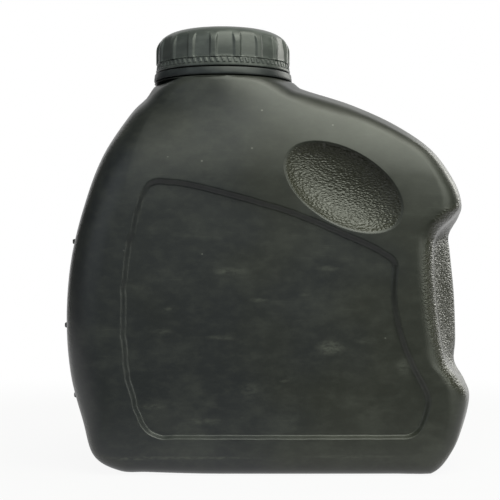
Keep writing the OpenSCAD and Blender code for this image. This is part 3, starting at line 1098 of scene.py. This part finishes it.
class Graph:
    """The node tree of one material or world, built from plain expressions."""

    def __init__(self, owner: bpy.types.Material | bpy.types.World) -> None:
        """Starts on an owner's own shader and output."""
        owner.use_nodes = True
        self.owner = owner
        self.tree = owner.node_tree
        kinds = ("BSDF_PRINCIPLED", "BACKGROUND")
        self.shader = next(node for node in self.tree.nodes if node.type in kinds)

    def link(self, value: "Signal | float | tuple", socket: bpy.types.NodeSocket) -> None:
        """Links a signal to a socket, or sets its value."""
        if isinstance(value, Signal):
            self.tree.links.new(value.socket, socket)
        else:
            socket.default_value = value

    def node(
        self, kind: str, settings: dict[str, object], *values: object, **named: object
    ) -> Signal:
        """Adds a node.

        Args:
            kind: The node's type.
            settings: Its settings, which are set before its sockets.
            values: Values or signals for its first shown inputs, in order.
            named: Values or signals for inputs by name, with _ for a space.

        Returns:
            The node's first shown output.
        """
        node = self.tree.nodes.new(kind)
        for key, value in settings.items():
            setattr(node, key, value)
        shown = [socket for socket in node.inputs if socket.enabled]
        for socket, value in zip(shown, values):
            self.link(value, socket)
        for key, value in named.items():
            self.link(value, next(s for s in shown if s.name == key.replace("_", " ")))
        return Signal(self, next(socket for socket in node.outputs if socket.enabled))

    def output(self, signal: Signal, name: str) -> Signal:
        """Another output of the node that a signal comes from."""
        return Signal(self, signal.socket.node.outputs[name])

    def place(self, center: Triple, turn: float, scale: Triple) -> Signal:
        """Object coordinates about a point in millimetres, turned in the face's plane and scaled.

        Args:
            center: The pattern's middle.
            turn: Degrees about the Y axis.
            scale: Cells for each millimetre, along X, Y and Z.

        Returns:
            The pattern's coordinates.
        """
        coordinates = self.output(self.node("ShaderNodeTexCoord", {}), "Object")
        middle = tuple(-MM * c for c in center)
        moved = self.node("ShaderNodeMapping", {}, coordinates, middle)
        grown = tuple(s / MM for s in scale)
        turned_by = (0.0, math.radians(turn), 0.0)
        return self.node("ShaderNodeMapping", {}, moved, (0.0, 0.0, 0.0), turned_by, grown)

    def cloud(
        self,
        cells: Triple,
        detail: float,
        roughness: float = 0.5,
        center: Triple = (0, 0, 0),
        turn: float = 0,
    ) -> Signal:
        """Cloudy noise from 0 to 1.

        Args:
            cells: Cells for each millimetre, along X, Y and Z.
            detail: How many finer layers it has.
            roughness: How strong those are.
            center: Its middle, in millimetres.
            turn: Degrees about the Y axis.

        Returns:
            The noise.
        """
        spot = self.place(center, turn, cells)
        kind = "ShaderNodeTexNoise"
        return self.node(kind, {}, spot, Scale=1.0, Detail=detail, Roughness=roughness)

    def dress(self, colour: Signal, roughness: Signal, relief: Signal) -> None:
        """Gives the shader its colour, its roughness and a relief in millimetres."""
        bump = self.node("ShaderNodeBump", {}, Strength=1.0, Distance=MM, Height=relief)
        named = {"Base Color": colour, "Roughness": roughness, "Normal": bump}
        for name, value in named.items():
            self.link(value, self.shader.inputs[name])

    def mixed(self, share: Signal, low: "Signal | tuple", high: "Signal | tuple") -> Signal:
        """A colour between two, by a share."""
        ends = [end if isinstance(end, Signal) else (*end, 1.0) for end in (low, high)]
        return self.node("ShaderNodeMix", {"data_type": "RGBA"}, share, A=ends[0], B=ends[1])


@dataclass(frozen=True)
class ScuffAndHighlight:
    """A pale mark on the front face, in millimetres. Most are worn rub marks; the long thin ones
    low down are a painted highlight.
    """

    x: float
    z: float
    length: float
    height: float
    turn: float
    strength: float


@dataclass(frozen=True)
class BlownPlastic:
    """Black polyethylene from a grained mould, dulled by handling and a little dust. Its colour
    also carries a painted shade, darker towards the left side, and a painted highlight along the
    base.
    """

    # cool and olive are random tones, and also a painted shade: the left side is drawn towards the
    # darker cool and the right side towards the lighter olive, as the light falls from the right.
    cool: Triple = (0.0080, 0.0100, 0.0110)
    olive: Triple = (0.0120, 0.0136, 0.0092)
    # The pale colour of wear, also used for the painted highlight streaks along the base.
    worn: Triple = (0.055, 0.059, 0.049)
    dust: Triple = (0.17, 0.17, 0.155)
    matt: Triple = (0.029, 0.029, 0.019)
    roughness: float = 0.34
    grain_cells: Triple = (0.975, 0.65, 1.755)
    grain_h: float = 0.27
    wave_h: float = 0.6
    fine_h: float = 0.006
    pale_mark_depth: float = 33.0
    scuffs_and_highlights: tuple[ScuffAndHighlight, ...] = (
        ScuffAndHighlight(22.0, 44.5, 7.0, 3.6, 8.0, 0.85),
        ScuffAndHighlight(34.0, 47.0, 5.0, 1.8, 0.0, 0.4),
        ScuffAndHighlight(13.0, 63.0, 3.2, 0.8, -20.0, 0.6),
        ScuffAndHighlight(-3.0, 61.0, 4.5, 1.2, 20.0, 0.55),
        ScuffAndHighlight(-13.0, 71.0, 9.0, 2.0, 5.0, 0.6),
        ScuffAndHighlight(-34.0, 58.0, 4.0, 1.6, -35.0, 0.5),
        ScuffAndHighlight(-36.0, 50.0, 5.0, 1.6, 35.0, 0.35),
        ScuffAndHighlight(-16.0, 48.0, 9.0, 1.2, -5.0, 0.4),
        ScuffAndHighlight(-6.0, 30.0, 6.0, 4.0, -30.0, 0.35),
        ScuffAndHighlight(6.0, 33.0, 2.6, 0.9, -8.0, 0.5),
        ScuffAndHighlight(-40.0, 24.0, 7.0, 1.6, 0.0, 0.45),
        ScuffAndHighlight(-22.0, 19.0, 9.0, 1.6, -8.0, 0.45),
        ScuffAndHighlight(47.0, 38.0, 4.0, 4.0, 30.0, 0.45),
        ScuffAndHighlight(21.0, 72.0, 6.0, 1.4, 12.0, 0.4),
        # Painted highlight: these three long thin streaks run along the top of the base's rounded
        # edge, where it catches the light.
        ScuffAndHighlight(-30.0, 6.5, 40.0, 0.8, 0.5, 0.45),
        ScuffAndHighlight(30.0, 7.0, 26.0, 0.7, -0.5, 0.35),
        ScuffAndHighlight(-48.0, 6.0, 16.0, 0.7, 1.0, 0.4),
    )

    def height(self, graph: Graph, grain: Signal) -> Signal:
        """The surface's relief in millimetres: waves of the blown wall, grain and fine mattness."""
        wave = graph.cloud((0.028, 0.028, 0.028), 1.0)
        fine = graph.cloud((2.2, 2.2, 2.2), 2.0)
        cells = graph.place((0, 0, 0), 8, self.grain_cells)
        wobble = graph.cloud((0.9, 0.9, 0.9), 2.0, center=(5, 0, 0))
        shifted = graph.node(
            "ShaderNodeVectorMath",
            {"operation": "MULTIPLY_ADD"},
            graph.output(wobble, "Color"),
            (0.7, 0.7, 0.7),
            cells,
        )
        pebble = graph.node(
            "ShaderNodeTexVoronoi", {"feature": "SMOOTH_F1"}, shifted, Scale=1.0, Smoothness=0.3
        )
        pebbles = grain * (1.0 - pebble) * self.grain_h
        return wave * self.wave_h + fine * self.fine_h + pebbles

    def wear_and_highlight(self, graph: Graph) -> Signal:
        """The share of the pale colour at each place: wear from rub marks, faint scratches and dull
        clouds, and a painted highlight in thin streaks along the base.
        """
        cloud = graph.cloud((0.05, 0.05, 0.085), 4.0, 0.6).between(0.45, 0.7)
        mottle = graph.cloud((0.22, 0.22, 0.36), 5.0, 0.68, (9, 0, 4)).between(0.4, 0.72)
        hair = graph.cloud((0.05, 0.05, 1.3), 3.0, 0.7, turn=6).between(0.6, 0.8)
        total = cloud * 0.2 + mottle * 0.16 + hair * (cloud * 0.3 + 0.1)
        torn = graph.cloud((0.4, 0.4, 1.1), 3.0, 0.65, turn=20).between(0.3, 0.65)
        # Each pale mark adds to the share; the long thin ones low down add a painted highlight.
        for pale_mark in self.scuffs_and_highlights:
            spread = (1 / pale_mark.length, 0.1, 1 / pale_mark.height)
            spot = graph.place((pale_mark.x, -self.pale_mark_depth, pale_mark.z), pale_mark.turn, spread)
            far = graph.node("ShaderNodeVectorMath", {"operation": "LENGTH"}, spot)
            total = total + (1.0 - far.between(0.2, 1.0)) * torn * pale_mark.strength
        return total

    def specks(self, graph: Graph) -> Signal:
        """Scattered pale specks of dust, under a millimetre across."""
        spots = graph.place((0, 0, 0), 0, (0.085, 0.085, 0.1))
        near = graph.node("ShaderNodeTexVoronoi", {"feature": "F1"}, spots, Scale=1.0)
        return (1.0 - near.between(0.01, 0.045)) * 0.6

    def material(self) -> bpy.types.Material:
        """Builds the material."""
        graph = Graph(bpy.data.materials.new("blown_plastic"))
        grain = graph.output(graph.node("ShaderNodeAttribute", {"attribute_name": "grain"}), "Fac")
        wear_and_highlight = self.wear_and_highlight(graph)
        # Painted shade: the tone drifts with X, darker and cooler on the left and lighter and more
        # olive on the right, as the light falls from the right.
        spot = graph.node("ShaderNodeSeparateXYZ", {}, graph.place((0, 0, 0), 0, (1, 1, 1)))
        across = graph.output(spot, "X")
        hue_and_side_shade = graph.cloud((0.02, 0.02, 0.02), 2.0, center=(40, 0, 10)) + across * 0.004
        plain = graph.mixed(hue_and_side_shade.between(0.35, 0.65), self.cool, self.olive)
        # Pale colour for wear, and for the painted highlight along the base.
        worn = graph.mixed(wear_and_highlight, plain, self.worn)
        dusty = graph.mixed(self.specks(graph), worn, self.dust)
        tinted = graph.mixed(grain * 0.7, dusty, self.matt)
        patchy = graph.cloud((0.12, 0.12, 0.12), 3.0, center=(3, 0, 0))
        roughness = self.roughness + patchy * 0.12 + wear_and_highlight * 0.1 - grain * 0.1
        graph.dress(tinted, roughness, self.height(graph, grain))
        return graph.owner


@dataclass(frozen=True)
class MouldedPlastic:
    """Injection-moulded black plastic, a little greyer and tighter than the bottle."""

    name: str
    colour: Triple
    worn: Triple
    roughness: float
    shine: float

    def material(self) -> bpy.types.Material:
        """Builds the material."""
        graph = Graph(bpy.data.materials.new(self.name))
        graph.shader.inputs["Specular IOR Level"].default_value = self.shine
        cloud = graph.cloud((0.16, 0.16, 0.3), 4.0, 0.6).between(0.42, 0.72)
        streak = graph.cloud((0.35, 0.35, 2.6), 3.0, 0.6).between(0.5, 0.75)
        wear = cloud * 0.5 + streak * 0.25
        fine, wave = graph.cloud((2.4, 2.4, 2.4), 3.0), graph.cloud((0.15, 0.15, 0.15), 1.0)
        relief = fine * 0.012 + wave * 0.08
        colour = graph.mixed(wear, self.colour, self.worn)
        graph.dress(colour, self.roughness + wear * 0.14, relief)
        return graph.owner


@dataclass(frozen=True)
class LinerFoam:
    """White expanded foam with fine pores."""

    colour: Triple = (0.72, 0.72, 0.69)
    pores: Triple = (0.55, 0.55, 0.52)
    roughness: float = 0.8

    def material(self) -> bpy.types.Material:
        """Builds the material."""
        graph = Graph(bpy.data.materials.new("liner_foam"))
        pore = graph.cloud((3.0, 3.0, 3.0), 2.0)
        share = pore.between(0.35, 0.6)
        colour = graph.mixed(share, self.pores, self.colour)
        graph.dress(colour, self.roughness - share * 0.1, pore * 0.05)
        return graph.owner


def add_object(name: str, data: bpy.types.ID) -> bpy.types.Object:
    """Makes an object of a mesh, a light or a camera, and links it to the scene."""
    made = bpy.data.objects.new(name, data)
    bpy.context.collection.objects.link(made)
    return made


@dataclass(frozen=True)
class Lamp:
    """One soft light, placed in metres."""

    name: str
    place: Triple
    size: float
    watts: float
    colour: Triple


@dataclass
class Studio:
    """The floor, the backdrop, the lights and the camera round the bottle."""

    camera_place: Triple = (-0.006, -0.47, 0.0784)
    lens: float = 91.2
    aim: Triple = (0.0, 0.0, 0.08)
    ambient: float = 0.11
    floor_half: float = 0.45
    floor_grey: float = 0.4
    floor_near: float = 0.92
    floor_fade: float = 0.35
    floor_place: Triple = (0.0, 0.364, 0.0)
    wall_half: float = 1.1
    wall_place: Triple = (0.0, 1.4, 0.6)
    lamps: tuple[Lamp, ...] = (
        Lamp("key", (0.26, -0.62, 0.94), 1.0, 15.6, (0.95, 1.0, 0.87)),
        Lamp("side", (0.72, -0.62, 0.3), 0.6, 3.0, (0.95, 1.0, 0.88)),
        Lamp("rim", (0.68, 0.57, 0.4), 0.45, 2.8, (1.0, 1.0, 0.93)),
        Lamp("front", (0.0, -1.0, 0.3), 0.6, 0.6, (0.94, 1.0, 0.98)),
        Lamp("left", (-0.7, -0.6, 0.38), 0.8, 1.6, (0.88, 0.95, 1.0)),
        Lamp("over", (0.4, -0.14, 0.94), 0.6, 2.8, (1.0, 1.0, 0.88)),
    )

    def seen_directly(self, graph: Graph) -> Signal:
        """One for the camera's rays, and for those that gloss or glass sends on."""
        path = graph.node("ShaderNodeLightPath", {})
        glossy = graph.output(path, "Is Glossy Ray")
        through = graph.output(path, "Is Transmission Ray")
        return graph.output(path, "Is Camera Ray").larger(glossy).larger(through)

    def white_paper(
        self, name: str, grey: float, near: float, around: float
    ) -> bpy.types.Material:
        """Pale paper that is white where it is seen directly, and keeps some of the shadow near by.

        Args:
            name: The material's name.
            grey: How pale the paper is for its shadow, and for the light it sends to the bottle.
            near: How white it is made close to the bottle, from 0 to 1.
            around: Distance from the bottle, in metres, beyond which it is all white.

        Returns:
            The material.
        """
        graph = Graph(bpy.data.materials.new(name))
        graph.link((grey, grey, grey, 1.0), graph.shader.inputs["Base Color"])
        graph.link(0.9, graph.shader.inputs["Roughness"])
        place = graph.output(graph.node("ShaderNodeTexCoord", {}), "Object")
        far = graph.node("ShaderNodeVectorMath", {"operation": "LENGTH"}, place)
        share = near + far.between(0.5 * around, around) * (1 - near)
        white = graph.node("ShaderNodeEmission", {}, (1.0, 1.0, 1.0, 1.0), 1.0)
        paper = Signal(graph, graph.shader.outputs[0])
        direct = self.seen_directly(graph) * share
        mixed = graph.node("ShaderNodeMixShader", {}, direct, paper, white)
        graph.link(mixed, graph.tree.nodes["Material Output"].inputs["Surface"])
        return graph.owner

    def hang_sheet(
        self, name: str, material: bpy.types.Material, place: Matrix, half: float
    ) -> None:
        """Adds a square sheet of paper, of half its side in metres, to the stage."""
        bm = bmesh.new()
        bmesh.ops.create_grid(bm, x_segments=4, y_segments=4, size=half)
        bmesh.ops.transform(bm, matrix=place, verts=list(bm.verts))
        mesh = bpy.data.meshes.new(name)
        bm.to_mesh(mesh)
        bm.free()
        mesh.materials.append(material)
        add_object(name, mesh)

    def light_world(self) -> None:
        """Sets a plain ambient light, white where it is seen directly."""
        world = bpy.data.worlds.new("studio")
        bpy.context.scene.world = world
        graph = Graph(world)
        camera = graph.output(graph.node("ShaderNodeLightPath", {}), "Is Camera Ray")
        graph.link((1.0, 1.0, 1.0, 1.0), graph.shader.inputs["Color"])
        graph.link(camera * (1 - self.ambient) + self.ambient, graph.shader.inputs["Strength"])

    def hang_lamps(self) -> None:
        """Places the lights, each turned to the bottle."""
        for lamp in self.lamps:
            data = bpy.data.lights.new(lamp.name, "AREA")
            data.size = lamp.size
            data.energy = lamp.watts
            data.color = lamp.colour
            light = add_object(lamp.name, data)
            light.location = lamp.place
            ray = Vector(self.aim) - Vector(lamp.place)
            light.rotation_euler = ray.to_track_quat("-Z", "Y").to_euler()

    def set_camera(self) -> None:
        """Places the camera level with the middle of the bottle, as in the photograph."""
        data = bpy.data.cameras.new("camera")
        data.lens = self.lens
        data.sensor_width = 36.0
        camera = add_object("camera", data)
        camera.location = self.camera_place
        camera.rotation_euler = (math.pi / 2, 0.0, 0.0)
        bpy.context.scene.camera = camera

    def set_up(self) -> None:
        """Builds the whole studio."""
        self.set_camera()
        floor = self.white_paper("floor_paper", self.floor_grey, self.floor_near, self.floor_fade)
        self.hang_sheet("floor", floor, Matrix.Translation(self.floor_place), self.floor_half)
        wall = Matrix.Translation(self.wall_place) @ Matrix.Rotation(math.pi / 2, 4, "X")
        backdrop = self.white_paper("backdrop_paper", 0.8, 1.0, 1.0)
        self.hang_sheet("backdrop", backdrop, wall, self.wall_half)
        self.light_world()
        self.hang_lamps()
        bpy.context.scene.view_settings.view_transform = "Standard"


@dataclass(frozen=True)
class Place:
    """Where a finished piece belongs: its CAD node, body and material slot."""

    node: str
    body: str
    slot: str


def make_piece(
    bm: BMesh, name: str, material: bpy.types.Material, place: Place
) -> bpy.types.Object:
    """Turns a mesh in millimetres into a finished piece.

    Args:
        bm: The mesh, which is freed.
        name: The piece's name.
        material: Its material.
        place: The node that it stands for, and what it rides on.

    Returns:
        The piece.
    """
    bmesh.ops.recalc_face_normals(bm, faces=list(bm.faces))
    bmesh.ops.scale(bm, vec=(MM, MM, MM), verts=list(bm.verts))
    mesh = bpy.data.meshes.new(name)
    bm.to_mesh(mesh)
    bm.free()
    mesh.shade_smooth()
    mesh.set_sharp_from_angle(angle=math.radians(SHARP))
    mesh.materials.append(material)
    piece = add_object(name, mesh)
    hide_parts(place.node)
    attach(piece, place.body)
    log.info("%s: %d faces, rides on %s", name, len(mesh.polygons), place.body)
    return piece


def span(node: str) -> tuple[Vector, Vector]:
    """The lowest and highest corners of a CAD node, in millimetres."""
    low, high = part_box(node)
    return low / MM, high / MM


def round_sizes(node: str, center: Vector) -> dict[str, object]:
    """The sizes that a round piece takes from its CAD node: axis, heights and outer radius."""
    low, high = span(node)
    return {"center": center, "low_z": low.z, "top_z": high.z, "outer_r": (high.x - low.x) / 2}


def main() -> None:
    """Builds and dresses the bottle and its closure, and sets up the studio."""
    logging.basicConfig(level=logging.INFO, format="%(name)s: %(message)s")
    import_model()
    Studio().set_up()

    bottle = Bottle()
    make_piece(
        bottle.build(),
        "blown_bottle",
        BlownPlastic().material(),
        Place("bottle", "can", "bottle_shell"),
    )
    cap_grey, cap_worn = (0.042, 0.048, 0.045), (0.088, 0.098, 0.091)
    ring_grey, ring_worn = (0.014, 0.017, 0.018), (0.040, 0.045, 0.047)
    closure = (
        (
            ScrewCap,
            "ridged_cap",
            MouldedPlastic("cap_plastic", cap_grey, cap_worn, roughness=0.38, shine=0.45),
            Place("screw_cap", "cap", "cap_plastic"),
        ),
        (
            TamperRing,
            "tear_band",
            MouldedPlastic("ring_plastic", ring_grey, ring_worn, roughness=0.42, shine=0.35),
            Place("tamper_ring", "can", "cap_plastic"),
        ),
        (Liner, "foam_liner", LinerFoam(), Place("cap_liner", "liner", "liner_foam")),
    )
    for maker, name, finish, place in closure:
        part = maker(**round_sizes(place.node, bottle.center))
        make_piece(part.build(), name, finish.material(), place)


if __name__ == "__main__":
    main()
